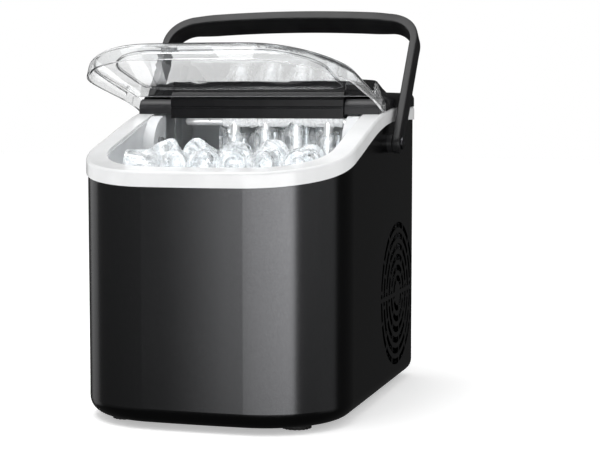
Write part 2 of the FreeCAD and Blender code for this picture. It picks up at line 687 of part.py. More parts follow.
def evaporator_fingers():
    made = []
    bar = rod(MANIFOLD_R, (-300, FRONT_ROW_Y, MANIFOLD_Z), (300, FRONT_ROW_Y, MANIFOLD_Z))
    back_bar = rod(MANIFOLD_R, (-300, BACK_ROW_Y, MANIFOLD_Z), (300, BACK_ROW_Y, MANIFOLD_Z))
    for x, y in finger_places():
        finger = rod(FINGER_R, (x, y, FINGER_TIP_Z), (x, y, MANIFOLD_Z - 1))
        finger = finger.makeFillet(3.0, [e for e in finger.Edges if e.BoundBox.ZMax < FINGER_TIP_Z + 1])
        made.append(finger.cut([bar, back_bar]))
    return Part.makeCompound(made)


def evaporator_bracket():
    """Carrier plate over the serpentine with a folded leg at its left end."""
    z0 = MANIFOLD_Z + MANIFOLD_R + 0.1
    plate = box(-84, 70, 186, 230, z0, z0 + 1.4)
    leg = box(-84, -82.6, 186, 200, 206, z0 + 1.4)
    return fuse([plate, leg])


def ice_on_fingers():
    """Bullets frozen around the fingers, the front ones already slipping."""
    made = []
    for k, (x, y) in enumerate(finger_places()):
        base = 199.0 + 2.2 * ((k * 2) % 5)
        piece = bullet().translated(Vec(0, 0, -BULLET_L))
        piece = turned(piece, 180, (0, 0, 0)).translated(Vec(x, y, base))
        finger = rod(FINGER_R, (x, y, FINGER_TIP_Z - 3), (x, y, MANIFOLD_Z))
        made.append(piece.cut(finger))
    return Part.makeCompound(made)


def water_tray():
    """Tilting trough below the fingers, with a trunnion at each rear corner."""
    x = TRAY_HX
    outer = rounded_tray(x, 176.0, 240.0, 187.0, 208.0, 9.0)
    inner = rounded_tray(x - 1.6, 177.6, 238.4, 188.6, 220.0, 7.4)
    parts = [outer.cut(inner)]
    for side in (-1, 1):
        a, b = sorted((side * (x - 1.6), side * x))
        lug = box(a, b, 232, TRAY_AXIS_Y + 5, 200, TRAY_AXIS_Z + 5)
        stub = rod(3.0, (side * (x - 1.6), TRAY_AXIS_Y, TRAY_AXIS_Z),
                   (side * (x + 6), TRAY_AXIS_Y, TRAY_AXIS_Z))
        parts += [lug, stub]
    return fuse(parts)


def rounded_tray(x, y0, y1, z0, z1, radius):
    block = box(-x, x, y0, y1, z0, z1)
    low = [e for e in block.Edges if e.BoundBox.ZMax < z0 + 0.1 and e.BoundBox.XLength > x]
    return block.makeFillet(radius, low)


def tray_bearing():
    plate = box(-TRAY_HX - 7, -TRAY_HX - 3, TRAY_AXIS_Y - 9, TRAY_AXIS_Y + 9, SHELF_FLOOR, 222)
    foot = box(-TRAY_HX - 14, -TRAY_HX - 3, TRAY_AXIS_Y - 9, TRAY_AXIS_Y + 9, SHELF_FLOOR,
               SHELF_FLOOR + 2)
    hole = rod(3.0 + RUN, (-100, TRAY_AXIS_Y, TRAY_AXIS_Z), (-60, TRAY_AXIS_Y, TRAY_AXIS_Z))
    return fuse([plate, foot]).cut(hole)


def tray_motor():
    x0, x1 = TRAY_HX + 3, 94.0
    case = box(x0, x1, TRAY_AXIS_Y - 13, TRAY_AXIS_Y + 16, TRAY_AXIS_Z - 20, TRAY_AXIS_Z + 13)
    foot = box(x0 + 2, x1, TRAY_AXIS_Y - 8, TRAY_AXIS_Y + 14, SHELF_FLOOR, TRAY_AXIS_Z - 20)
    hole = rod(3.0 + RUN, (60, TRAY_AXIS_Y, TRAY_AXIS_Z), (x0 + 4, TRAY_AXIS_Y, TRAY_AXIS_Z))
    return fuse([case, foot]).cut(hole)


def water_pump():
    body = rod(13.0, (72, 139, TUB_FLOOR), (72, 139, TUB_FLOOR + 24))
    strainer = rod(14.5, (72, 139, TUB_FLOOR), (72, 139, TUB_FLOOR + 5))
    outlet = rod(4.0, (72, 145, TUB_FLOOR + 24), (72, 145, TUB_FLOOR + 32))
    return fuse([body, strainer, outlet])


def water_hose():
    route = [(72, 145, TUB_FLOOR + 32), (72, 145, 216), (72, 174, 216)]
    return pipe(route, 3.0, 12.0)


def drain_spout():
    wall_x = -(BODY_W / 2 - LINER_INSET - LINER_T)
    pipe_part = tube(7.0, 4.5, (-BODY_W / 2 - 1.5, DRAIN_Y, DRAIN_Z), (wall_x, DRAIN_Y, DRAIN_Z))
    collar = tube(11.0, 4.5, (-BODY_W / 2 - 1.5, DRAIN_Y, DRAIN_Z), (-BODY_W / 2, DRAIN_Y, DRAIN_Z))
    return fuse([pipe_part, collar])


def drain_plug():
    x0 = -BODY_W / 2 - 1.5
    stem = rod(4.5 - RUN, (x0, DRAIN_Y, DRAIN_Z), (x0 + 12, DRAIN_Y, DRAIN_Z))
    head = rod(10.5, (x0 - 4, DRAIN_Y, DRAIN_Z), (x0, DRAIN_Y, DRAIN_Z))
    head = head.makeFillet(1.0, [e for e in head.Edges if e.BoundBox.XMax < x0 - 3])
    grip = box(x0 - 8, x0 - 3.5, DRAIN_Y - 1.5, DRAIN_Y + 1.5, DRAIN_Z - 8, DRAIN_Z + 8)
    return fuse([stem, head, grip])


def ice_full_sensors():
    eye = rod(5.0, (-84, SENSOR_Y, SENSOR_Z), (-81.5, SENSOR_Y, SENSOR_Z))
    lens = rod(2.6, (-81.5, SENSOR_Y, SENSOR_Z), (-80.5, SENSOR_Y, SENSOR_Z))
    return both_sides(fuse([eye, lens]))


# ---- cooling circuit ----
def mounting_places():
    return [(COMP_X + dx, COMP_Y + dy) for dx in (-40, 40) for dy in (-34, 34)]


def compressor():
    body = rod(COMP_R, (COMP_X, COMP_Y, 20), (COMP_X, COMP_Y, COMP_TOP))
    body = body.makeFillet(16.0, [e for e in body.Edges if e.BoundBox.ZMin > COMP_TOP - 8])
    body = body.makeFillet(8.0, [e for e in body.Edges if e.BoundBox.ZMax < 21])
    seam = rod(COMP_R + 1.6, (COMP_X, COMP_Y, 70), (COMP_X, COMP_Y, 74))
    plate = box(COMP_X - 49, COMP_X + 49, COMP_Y - 43, COMP_Y + 43, 17, 20)
    cover = box(COMP_X + COMP_R - 8, COMP_X + COMP_R + 6, COMP_Y - 16, COMP_Y + 16, 58, 96)
    holes = [rod(4.1, (x, y, 10), (x, y, 22)) for x, y in mounting_places()]
    return fuse([body, seam, cover, plate.cut(holes)])


def compressor_grommets():
    made = []
    for x, y in mounting_places():
        low = rod(7.0, (x, y, FLOOR_Z + 2), (x, y, 17))
        neck = rod(4.0, (x, y, 17), (x, y, 20.2))
        made.append(fuse([low, neck, rod(7.0, (x, y, 20.2), (x, y, 22))]))
    return Part.makeCompound(made)


def condenser():
    """Finned block: plates across the air flow, round tube bends at both ends."""
    fins = [box(22, 44, y, y + 0.8, 20, 126) for y in [180.0 + 4.0 * k for k in range(27)]]
    tubes = [rod(3.5, (33, 176, 32 + 17.4 * k), (33, 290, 32 + 17.4 * k)) for k in range(6)]
    ends = [box(21, 45, 178, 180, 18, 128), box(21, 45, 286, 288, 18, 128)]
    return fuse(fins + tubes + ends)


def fan_shroud():
    plate = box(72, 75, 177, 289, 18, 130)
    centre = (GRILLE_Y, GRILLE_Z - 10)
    hole = rod(FAN_R + 3, (60, centre[0], centre[1]), (90, centre[0], centre[1]))
    struts = []
    for k in range(3):
        strut = box(72, 75, centre[0] - 2.5, centre[0] + 2.5, centre[1], centre[1] + FAN_R + 5)
        struts.append(turned(strut, 120 * k, (0, centre[0], centre[1])))
    hub = rod(18.0, (72, centre[0], centre[1]), (75, centre[0], centre[1]))
    bore = rod(3.0, (60, centre[0], centre[1]), (90, centre[0], centre[1]))
    foot = box(60, 75, 177, 289, FLOOR_Z + 2, 18)
    return fuse([plate.cut(hole)] + struts + [hub, foot]).cut(bore)


def fan_motor():
    y, z = GRILLE_Y, GRILLE_Z - 10
    case = rod(17.0, (48, y, z), (72, y, z))
    case = case.makeFillet(3.0, [e for e in case.Edges if e.BoundBox.XMax < 49])
    return fuse([case, rod(2.5, (72, y, z), (90, y, z))])


def fan_blade():
    y, z = GRILLE_Y, GRILLE_Z - 10
    hub = rod(13.0, (77, y, z), (91, y, z))
    blades = []
    for k in range(7):
        blade = box(83.2, 84.8, y - 12, y + 12, z + 8, z + FAN_R + 4)
        blade = turned(blade, 30.0, (84, y, z), (0, 0, 1))
        blades.append(turned(blade, 360.0 / 7 * k, (0, y, z)))
    ring = rod(FAN_R, (76, y, z), (96, y, z))
    rotor = fuse([hub] + [b.common(ring) for b in blades])
    return rotor.cut(rod(2.5 + RUN, (70, y, z), (90, y, z)))


def filter_drier():
    body = rod(8.0, (4, PIPES_Y, 40), (4, PIPES_Y, 92))
    return body.makeFillet(5.0, [e for e in body.Edges if e.BoundBox.ZLength < 0.1])


def discharge_pipe():
    x, y = COMP_X + 20, COMP_Y + 15
    return pipe([(x, y, COMP_TOP), (x, y, 131), (33, y, 131)], 2.5, 6.0)


def suction_pipe():
    return pipe([(OUTLET_X, 276, MANIFOLD_Z), (OUTLET_X, PIPES_Y, MANIFOLD_Z),
                 (OUTLET_X, PIPES_Y, 128), (OUTLET_X, 262, 128), (OUTLET_X, 262, COMP_TOP + 0.2)],
                3.0, 6.0)


def capillary_tube():
    y = PIPES_Y + 9.0
    return pipe([(4, PIPES_Y, 92), (4, PIPES_Y, 112), (4, y, 112), (4, y, 146), (INLET_X, y, 146),
                 (INLET_X, y, MANIFOLD_Z), (INLET_X, 276, MANIFOLD_Z)], 1.2, 4.0)


def hot_gas_valve():
    body = rod(7.0, (-20, 275, 150), (-20, 275, 176))
    coil = box(-32, -8, 266, 288, 156, 172)
    return fuse([body, coil])


def main_board():
    board = box(0, 86, 300.5, 302, 136, 212)
    posts = [rod(2.5, (x, 302, z), (x, BODY_D, z)) for x in (5, 81) for z in (141, 207)]
    return fuse([board] + posts)


def board_parts():
    relay = box(12, 28, 282, 300.5, 150, 162)
    transformer = box(40, 72, 274, 300.5, 150, 178)
    capacitor = rod(7, (22, 280, 190), (22, 300.5, 190))
    sockets = [box(x, x + 9, 291, 300.5, 196, 202) for x in (36, 50, 64)]
    return Part.makeCompound([relay, transformer, capacitor] + sockets)


# ---- writing the nodes ----
def save(name, shape):
    moved = shape.translated(Vec(0, -BODY_D / 2, 0))
    good = moved.isValid()
    solids = len(moved.Solids)
    print(f"{name:22s} solids {solids:3d} valid {good} volume {moved.Volume:12.1f}")
    moved.exportStep(f"parts/{name}.step")


NODES = {
    "outer_housing": outer_housing,
    "base_pan": base_pan,
    "feet": feet,
    "rear_cover": rear_cover,
    "rear_screws": rear_screws,
    "cord_gland": cord_gland,
    "top_rim": top_rim,
    "top_deck": top_deck,
    "control_panel": control_panel,
    "indicator_lenses": indicator_lenses,
    "display_board": display_board,
    "hinge_block_right": lambda: hinge_block(1),
    "hinge_block_left": lambda: hinge_block(-1),
    "hinge_pins": hinge_pins,
    "lid": lid,
    "handle": handle,
    "handle_bosses": handle_bosses,
    "handle_screws": handle_screws,
    "inner_liner": inner_liner,
    "insulation_foam": insulation_foam,
    "tub_cheek_left": lambda: tub_cheek(-1),
    "tub_cheek_right": lambda: tub_cheek(1),
    "ice_basket": ice_basket,
    "basket_rails": basket_rails,
    "ice_in_basket": ice_in_basket,
    "evaporator_manifold": evaporator_manifold,
    "evaporator_fingers": evaporator_fingers,
    "evaporator_bracket": evaporator_bracket,
    "ice_on_fingers": ice_on_fingers,
    "water_tray": water_tray,
    "tray_bearing": tray_bearing,
    "tray_motor": tray_motor,
    "water_pump": water_pump,
    "water_hose": water_hose,
    "drain_spout": drain_spout,
    "drain_plug": drain_plug,
    "ice_full_sensors": ice_full_sensors,
    "compressor": compressor,
    "compressor_grommets": compressor_grommets,
    "condenser": condenser,
    "fan_shroud": fan_shroud,
    "fan_motor": fan_motor,
    "fan_blade": fan_blade,
    "filter_drier": filter_drier,
    "discharge_pipe": discharge_pipe,
    "suction_pipe": suction_pipe,
    "capillary_tube": capillary_tube,
    "hot_gas_valve": hot_gas_valve,
    "main_board": main_board,
    "board_parts": board_parts,
}
for button_name, button_x in BUTTONS.items():
    NODES[button_name] = lambda x=button_x: button(x)

os.makedirs("parts", exist_ok=True)
for node_name, maker in NODES.items():
    save(node_name, maker())
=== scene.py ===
import math

import bmesh
import bpy
from mathutils import Matrix, Vector, noise
from mathutils.bvhtree import BVHTree


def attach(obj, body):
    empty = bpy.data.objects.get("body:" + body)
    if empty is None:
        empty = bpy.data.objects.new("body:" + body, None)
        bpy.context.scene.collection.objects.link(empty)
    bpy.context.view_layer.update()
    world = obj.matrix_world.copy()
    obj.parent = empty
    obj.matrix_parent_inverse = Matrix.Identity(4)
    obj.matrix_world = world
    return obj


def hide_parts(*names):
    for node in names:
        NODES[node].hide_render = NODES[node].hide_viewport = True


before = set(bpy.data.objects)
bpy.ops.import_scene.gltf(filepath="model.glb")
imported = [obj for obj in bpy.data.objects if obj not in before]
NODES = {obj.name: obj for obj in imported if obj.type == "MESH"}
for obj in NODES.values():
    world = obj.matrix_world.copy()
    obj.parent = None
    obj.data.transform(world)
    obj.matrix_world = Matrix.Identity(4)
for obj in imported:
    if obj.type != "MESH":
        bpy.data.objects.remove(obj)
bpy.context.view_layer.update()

SCENE = bpy.context.scene

# ---- shared sizes, in metres, as in the CAD source ----
BODY_D = 0.310
PIVOT_Y, PIVOT_Z = 0.195, 0.2217
ARM_X, STRAP_T, STRAP_W = 0.1192, 0.007, 0.018
HANDLE_LEN, HANDLE_LEAN, HANDLE_R, GRIP_ARCH = 0.1355, 38.3, 0.030, 0.004
GRIP_W, GRIP_EXTRA = 0.0215, 0.0026
GRIP_END, GRIP_FADE = 0.106, 0.030
LID_OPEN, LID_BACK = 28.0, 0.153
HINGE_Y, HINGE_Z = 0.174, 0.253
WINDOW_HW, WINDOW_FRONT, WINDOW_BACK = 0.089, 0.026, 0.131
WINDOW_R, WINDOW_REAR_R = 0.046, 0.012
BULLET_R, BULLET_L, CORE_R = 0.0110, 0.0260, 0.0046
MELT, RIPPLE = 0.035, 0.008
BASKET_FLOOR, BASKET_T, ICE_GAP = 0.150, 0.002, 0.0004
FINGER_PITCH = 0.0288
FRONT_ROW_Y, BACK_ROW_Y, MANIFOLD_Z = 0.193, 0.222, 0.240
ICE_FOOT_Z = 0.199
FROST_LEFT, FROST_LENGTH, FROST_R = -0.040, 0.112, 0.0042


def depth(y):
    """Row-frame y of a depth measured back from the front face."""
    return y - BODY_D / 2


# ---- materials ----
class Surface:
    """One procedural material: a Principled shader with textures in object space."""

    def __init__(self, name, colour, roughness, **sockets):
        self.material = bpy.data.materials.new(name)
        self.material.use_nodes = True
        self.nodes = self.material.node_tree.nodes
        self.links = self.material.node_tree.links
        self.shader = self.nodes["Principled BSDF"]
        self.output = self.nodes["Material Output"]
        self.coordinates = self.nodes.new("ShaderNodeTexCoord").outputs["Object"]
        self.normal = None
        self.set("Base Color", (*colour, 1.0))
        self.set("Roughness", roughness)
        for socket, value in sockets.items():
            self.set(socket.replace("_", " "), value)

    def set(self, socket, value):
        self.shader.inputs[socket].default_value = value

    def node(self, kind, **inputs):
        made = self.nodes.new(kind)
        for socket, value in inputs.items():
            target = made.inputs[socket.replace("_", " ")]
            if isinstance(value, bpy.types.NodeSocket):
                self.links.new(value, target)
            else:
                target.default_value = value
        return made

    def noise(self, scale, detail=3.0, roughness=0.5, stretch=(1, 1, 1)):
        mapping = self.node("ShaderNodeMapping", Vector=self.coordinates, Scale=stretch)
        made = self.node("ShaderNodeTexNoise", Vector=mapping.outputs["Vector"], Scale=scale,
                         Detail=detail, Roughness=roughness)
        return made.outputs["Fac"]

    def cells(self, scale, feature="F1"):
        made = self.node("ShaderNodeTexVoronoi", Vector=self.coordinates, Scale=scale)
        made.feature = feature
        return made.outputs["Distance"]

    def ramp(self, factor, *stops):
        made = self.node("ShaderNodeValToRGB", Fac=factor)
        elements = made.color_ramp.elements
        while len(elements) < len(stops):
            elements.new(0.5)
        for element, (place, value) in zip(elements, stops):
            element.position = place
            element.color = (value, value, value, 1) if isinstance(value, float) else (*value, 1)
        return made.outputs["Color"]

    def colour(self, factor, *stops):
        self.links.new(self.ramp(factor, *stops), self.shader.inputs["Base Color"])
        return self

    def rough(self, factor, low, high):
        made = self.node("ShaderNodeMapRange", Value=factor, To_Min=low, To_Max=high)
        self.links.new(made.outputs["Result"], self.shader.inputs["Roughness"])
        return self

    def bump(self, height, strength, distance=0.001):
        made = self.node("ShaderNodeBump", Height=height, Strength=strength, Distance=distance)
        if self.normal is not None:
            self.links.new(self.normal, made.inputs["Normal"])
        self.normal = made.outputs["Normal"]
        self.links.new(self.normal, self.shader.inputs["Normal"])
        return self

    def shadow_through(self, share):
        """Lets this share of the light through in shadow rays, as clear plastic does."""
        path = self.node("ShaderNodeLightPath")
        clear = self.node("ShaderNodeBsdfTransparent", Color=(share, share, share, 1))
        mix = self.node("ShaderNodeMixShader", Fac=path.outputs["Is Shadow Ray"])
        self.links.new(self.shader.outputs["BSDF"], mix.inputs[1])
        self.links.new(clear.outputs["BSDF"], mix.inputs[2])
        self.links.new(mix.outputs["Shader"], self.output.inputs["Surface"])
        return self

    def absorb(self, colour, density):
        made = self.node("ShaderNodeVolumeAbsorption", Color=(*colour, 1), Density=density)
        self.links.new(made.outputs["Volume"], self.output.inputs["Volume"])
        return self


def moulded(name, dark, light, low, high, grain=900.0, relief=0.12, **sockets):
    """Moulded plastic: slight mottling, uneven gloss and a fine grain."""
    made = Surface(name, light, low, **sockets)
    made.colour(made.noise(60, 4), (0.35, dark), (0.65, light))
    made.rough(made.noise(45, 5, 0.6), low, high)
    return made.bump(made.noise(grain, 2), relief, 0.0002)


def metal(name, dark, light, low, high, stretch=(1, 1, 1), scale=300.0, relief=0.1,
          metallic=1.0):
    """Bare metal with drawn or cast texture and faint stains."""
    made = Surface(name, light, low, Metallic=metallic)
    made.colour(made.noise(35, 5, 0.6), (0.3, dark), (0.7, light))
    made.rough(made.noise(scale, 3, 0.5, stretch), low, high)
    return made.bump(made.noise(scale, 3, 0.5, stretch), relief, 0.0002)


def housing_paint():
    """Black metallic satin paint with a fine flake."""
    made = Surface("housing_paint", (0.07, 0.07, 0.073), 0.22, Metallic=1.0)
    made.colour(made.cells(2600), (0.15, (0.050, 0.051, 0.053)), (0.75, (0.092, 0.093, 0.096)))
    made.rough(made.noise(30, 4), 0.17, 0.21)
    made.bump(made.noise(2200, 2), 0.10, 0.0002)
    return made.bump(made.noise(24, 2), 0.03, 0.001)


def clear_plastic():
    """Water-clear moulded lid, with painted shade: a dark opaque band along its cut rear edge stands
    in for the dark line that edge shows.
    """
    made = Surface("clear_plastic", (0.985, 0.99, 0.992), 0.0, IOR=1.49, Transmission_Weight=1.0)
    made.rough(made.noise(18, 3), 0.0, 0.02)
    made.bump(made.noise(14, 2), 0.008, 0.001)
    tilt = math.radians(LID_OPEN)
    back = made.nodes.new("ShaderNodeVectorMath")
    back.operation = "DOT_PRODUCT"
    made.links.new(made.coordinates, back.inputs[0])
    back.inputs[1].default_value = (0, math.cos(tilt), -math.sin(tilt))
    # Painted shade: a dark, opaque band about 1 mm wide along the lid's cut rear edge, standing in
    # for the dark line seen there.
    edge = math.cos(tilt) * depth(HINGE_Y) - math.sin(tilt) * HINGE_Z - (HINGE_Y - LID_BACK)
    rear_edge_shade_band = made.node("ShaderNodeMapRange", Value=back.outputs["Value"], From_Min=edge - 0.0004,
                     From_Max=edge + 0.0006).outputs["Result"]
    clear, dark = (0.985, 0.99, 0.992), (0.10, 0.10, 0.105)
    made.colour(rear_edge_shade_band, (0.0, clear), (0.3, dark), (0.5, dark), (0.8, clear))
    see_through = made.ramp(rear_edge_shade_band, (0.0, 1.0), (0.3, 0.0), (0.5, 0.0), (0.8, 1.0))
    made.links.new(see_through, made.shader.inputs["Transmission Weight"])
    return made.shadow_through(0.92).absorb((0.80, 0.83, 0.85), 14.0)


def smoke_plastic():
    """Milky translucent plastic of the scoop basket and hose."""
    made = Surface("smoke_plastic", (0.86, 0.88, 0.89), 0.25, IOR=1.46, Transmission_Weight=0.7)
    made.rough(made.noise(60, 4), 0.18, 0.32)
    return made.bump(made.noise(500, 2), 0.06, 0.0003)


def clear_ice():
    """Wet clear ice with cloudy veins and melted dimples."""
    made = Surface("clear_ice", (0.96, 0.98, 0.99), 0.04, IOR=1.31)
    cloud = made.noise(150, 5, 0.65)
    made.colour(cloud, (0.35, (0.93, 0.965, 0.985)), (0.7, (0.99, 0.995, 1.0)))
    mask = made.ramp(cloud, (0.45, 0.97), (0.70, 0.60))
    made.links.new(mask, made.shader.inputs["Transmission Weight"])
    made.rough(made.noise(90, 4), 0.0, 0.10)
    made.bump(made.noise(260, 3), 0.05, 0.001)
    made.bump(made.cells(160, "SMOOTH_F1"), 0.06, 0.0015)
    return made.shadow_through(0.85)


def frost():
    """Rime on the cold tube."""
    made = Surface("frost", (0.93, 0.95, 0.96), 0.35, IOR=1.31, Transmission_Weight=0.1)
    made.colour(made.noise(500, 4), (0.3, (0.86, 0.88, 0.90)), (0.6, (0.98, 0.99, 1.0)))
    made.rough(made.noise(350, 3), 0.12, 0.5)
    return made.bump(made.cells(900), 0.9, 0.0012)


def foam():
    made = Surface("foam", (0.86, 0.80, 0.62), 0.9)
    made.colour(made.noise(90, 5), (0.3, (0.74, 0.66, 0.46)), (0.7, (0.90, 0.84, 0.66)))
    return made.bump(made.cells(700), 0.6, 0.001)


def board_green():
    """Circuit board with faint tracks under the lacquer."""
    made = Surface("board_green", (0.03, 0.16, 0.07), 0.4)
    tracks = made.node("ShaderNodeTexWave", Vector=made.coordinates, Scale=160.0, Distortion=14.0,
                       Detail=2.0)
    made.colour(tracks.outputs["Fac"], (0.45, (0.015, 0.10, 0.045)), (0.6, (0.04, 0.22, 0.10)))
    made.rough(made.noise(200, 3), 0.3, 0.5)
    return made.bump(tracks.outputs["Fac"], 0.2, 0.0003)


def lens():
    made = Surface("lens", (0.8, 0.87, 0.9), 0.08, IOR=1.5, Transmission_Weight=0.5)
    made.rough(made.noise(300, 3), 0.05, 0.15)
    return made.bump(made.cells(1500), 0.2, 0.0003)


MATERIALS = {
    "housing_paint": housing_paint(),
    "white_gloss": moulded("white_gloss", (0.80, 0.805, 0.81), (0.84, 0.845, 0.85), 0.18, 0.26,
                           relief=0.04, Coat_Weight=0.3, Coat_Roughness=0.12),
    "black_gloss": moulded("black_gloss", (0.008, 0.008, 0.009), (0.012, 0.012, 0.013), 0.10, 0.20,
                           relief=0.03, Specular_IOR_Level=0.22),
    "hinge_black": moulded("hinge_black", (0.018, 0.018, 0.02), (0.026, 0.026, 0.028), 0.28, 0.40,
                           Specular_IOR_Level=0.35),
    "black_satin": moulded("black_satin", (0.010, 0.010, 0.011), (0.016, 0.016, 0.017), 0.32, 0.44,
                           grain=1400.0, relief=0.10, Specular_IOR_Level=0.30),
    "clear_plastic": clear_plastic(),
    "liner_plastic": moulded("liner_plastic", (0.66, 0.67, 0.685), (0.72, 0.73, 0.74), 0.25, 0.4,
                             relief=0.05),
    "smoke_plastic": smoke_plastic(),
    "clear_ice": clear_ice(),
    "frost": frost(),
    "nickel_tube": metal("nickel_tube", (0.86, 0.87, 0.88), (0.96, 0.965, 0.97), 0.22, 0.40,
                         metallic=0.7),
    "dark_steel": metal("dark_steel", (0.05, 0.05, 0.055), (0.10, 0.10, 0.105), 0.3, 0.45),
    "steel": metal("steel", (0.48, 0.49, 0.50), (0.64, 0.65, 0.66), 0.25, 0.42, (1, 1, 14)),
    "galvanised": metal("galvanised", (0.42, 0.43, 0.44), (0.60, 0.61, 0.62), 0.35, 0.55),
    "aluminium_fins": metal("aluminium_fins", (0.62, 0.63, 0.65), (0.78, 0.79, 0.8), 0.25, 0.4),
    "copper": metal("copper", (0.50, 0.22, 0.12), (0.80, 0.42, 0.27), 0.2, 0.42),
    "rubber": moulded("rubber", (0.015, 0.015, 0.015), (0.025, 0.025, 0.025), 0.65, 0.85,
                      grain=1500.0, relief=0.3),
    "foam": foam(),
    "board_green": board_green(),
    "lens": lens(),
    "grey_plastic": moulded("grey_plastic", (0.20, 0.205, 0.21), (0.26, 0.265, 0.27), 0.35, 0.5),
    # Painted shade: the dark grey of the line laid round the lid's window.
    "window_line_shade": moulded("window_line_shade", (0.10, 0.10, 0.105), (0.14, 0.14, 0.145), 0.2, 0.3),
    "pump_black": moulded("pump_black", (0.03, 0.03, 0.032), (0.045, 0.045, 0.048), 0.4, 0.55),
}

FINISH = {
    "housing_paint": "outer_housing rear_cover",
    "galvanised": "base_pan fan_shroud",
    "rubber": "feet cord_gland drain_plug compressor_grommets",
    "steel": "rear_screws hinge_pins evaporator_bracket fan_motor hot_gas_valve",
    "dark_steel": "handle_screws",
    "white_gloss": "top_rim",
    "black_gloss": "top_deck control_panel",
    "lens": "indicator_lenses",
    "board_green": "display_board main_board",
    "hinge_black": "hinge_block_right hinge_block_left",
    "clear_plastic": "lid",
    "black_satin": "handle handle_bosses button_power button_size button_clean board_parts",
    "liner_plastic": "inner_liner tub_cheek_left tub_cheek_right basket_rails water_tray",
    "foam": "insulation_foam",
    "smoke_plastic": "ice_basket water_hose",
    "clear_ice": "ice_in_basket ice_on_fingers",
    "nickel_tube": "evaporator_manifold evaporator_fingers",
    "grey_plastic": "tray_bearing tray_motor drain_spout ice_full_sensors fan_blade",
    "pump_black": "water_pump compressor",
    "aluminium_fins": "condenser",
    "copper": "filter_drier discharge_pipe suction_pipe capillary_tube",
}


def paint(obj, finish):
    obj.data.materials.clear()
    obj.data.materials.append(MATERIALS[finish].material)


for finish_name, names in FINISH.items():
    for node_name in names.split():
        slots = NODES[node_name].material_slots
        for each in slots:
            each.material = MATERIALS[finish_name].material
        if not slots:
            paint(NODES[node_name], finish_name)


# ---- new pieces ----
def new_piece(name, mesh, body, finish, replaced=()):
    obj = bpy.data.objects.new(name, bpy.data.meshes.new(name))
    mesh.normal_update()
    mesh.to_mesh(obj.data)
    mesh.free()
    obj.data.shade_smooth()
    obj.data.set_sharp_from_angle(angle=math.radians(38))
    SCENE.collection.objects.link(obj)
    paint(obj, finish)
    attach(obj, body)
    if replaced:
        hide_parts(*replaced)
    return obj


def skin(mesh, rings, closed=False):
    """Joins rings of points, each a closed loop of the same length, with quads."""
    loops = [[mesh.verts.new(p) for p in ring] for ring in rings]
    pairs = list(zip(loops, loops[1:])) + ([(loops[-1], loops[0])] if closed else [])
    for low, high in pairs:
        for i in range(len(low)):
            j = (i + 1) % len(low)
            mesh.faces.new((low[i], low[j], high[j], high[i]))
    if not closed:
        mesh.faces.new(list(reversed(loops[0])))
        mesh.faces.new(loops[-1])


def smooth(t):
    t = min(max(t, 0.0), 1.0)
    return t * t * (3 - 2 * t)


def handle_path():
    """Points and tangents along the strap's middle line, in the handle's own plane."""
    radius = HANDLE_R - STRAP_T / 2
    shoulder = ARM_X - radius
    points = []
    for k in range(9):
        points.append((ARM_X, -STRAP_W / 2 * math.cos(math.radians(11.25 * k))))
    for k in range(1, 24):
        points.append((ARM_X, (HANDLE_LEN - radius) * k / 24))
    for k in range(17):
        a = math.radians(90.0 * k / 16)
        points.append((shoulder + radius * math.cos(a), HANDLE_LEN - radius + radius * math.sin(a)))
    sweep = (shoulder ** 2 + GRIP_ARCH ** 2) / (2 * GRIP_ARCH)
    for k in range(1, 25):
        x = shoulder * (1 - k / 24)
        rise = math.sqrt(sweep ** 2 - x ** 2) - sweep + GRIP_ARCH
        points.append((x, HANDLE_LEN + rise))
    return points + [(-x, z) for x, z in reversed(points[:-1])]


def strap_section(half, extra):
    """Rounded strap cross-section: across the thickness, along the width, dished inside.
    extra thickens it on its outer side."""
    thick, corner = STRAP_T / 2, min(0.0014, half * 0.6)
    loop = []
    for cx, cy, start in ((1, 1, 0), (-1, 1, 90), (-1, -1, 180), (1, -1, 270)):
        for k in range(6):
            a = math.radians(start + 18 * k)
            loop.append((cx * (thick - corner) + corner * math.cos(a) + extra * (cx > 0),
                         cy * (half - corner) + corner * math.sin(a)))
        if (cx, cy) == (-1, 1) and half > 0.008:
            loop += [(-thick + 0.0006 * math.sin(math.pi * t), half * (1 - 2 * t))
                     for t in (0.3, 0.4, 0.5, 0.6, 0.7)]
        elif (cx, cy) == (-1, 1):
            loop += [(-thick, half * (1 - 2 * t)) for t in (0.3, 0.4, 0.5, 0.6, 0.7)]
    return loop


def carry_handle():
    path = handle_path()
    rings = []
    turn = Matrix.Rotation(math.radians(-HANDLE_LEAN), 4, "X")
    place = Matrix.Translation((0, depth(PIVOT_Y), PIVOT_Z)) @ turn
    for k, (x, z) in enumerate(path):
        before, after = path[max(k - 1, 0)], path[min(k + 1, len(path) - 1)]
        along = Vector((after[0] - before[0], 0, after[1] - before[1])).normalized()
        outward = Vector((along.z, 0, -along.x))
        reach = STRAP_W / 2
        grip = smooth((GRIP_END - abs(x)) / GRIP_FADE) * (z > HANDLE_LEN / 2)
        rise = smooth((z - HANDLE_LEN + HANDLE_R) / HANDLE_R)
        half = math.sqrt(max(reach ** 2 - min(z, 0) ** 2, 1e-8)) if z < 0 else reach
        half += grip * (GRIP_W - STRAP_W) / 2
        rings.append([place @ (Vector((x, 0, z)) + outward * n + Vector((0, b, 0)))
                      for n, b in strap_section(max(half, 0.0008), rise * GRIP_EXTRA)])
    mesh = bmesh.new()
    skin(mesh, rings)
    return new_piece("carry_handle", mesh, "handle", "black_satin", ["handle"])


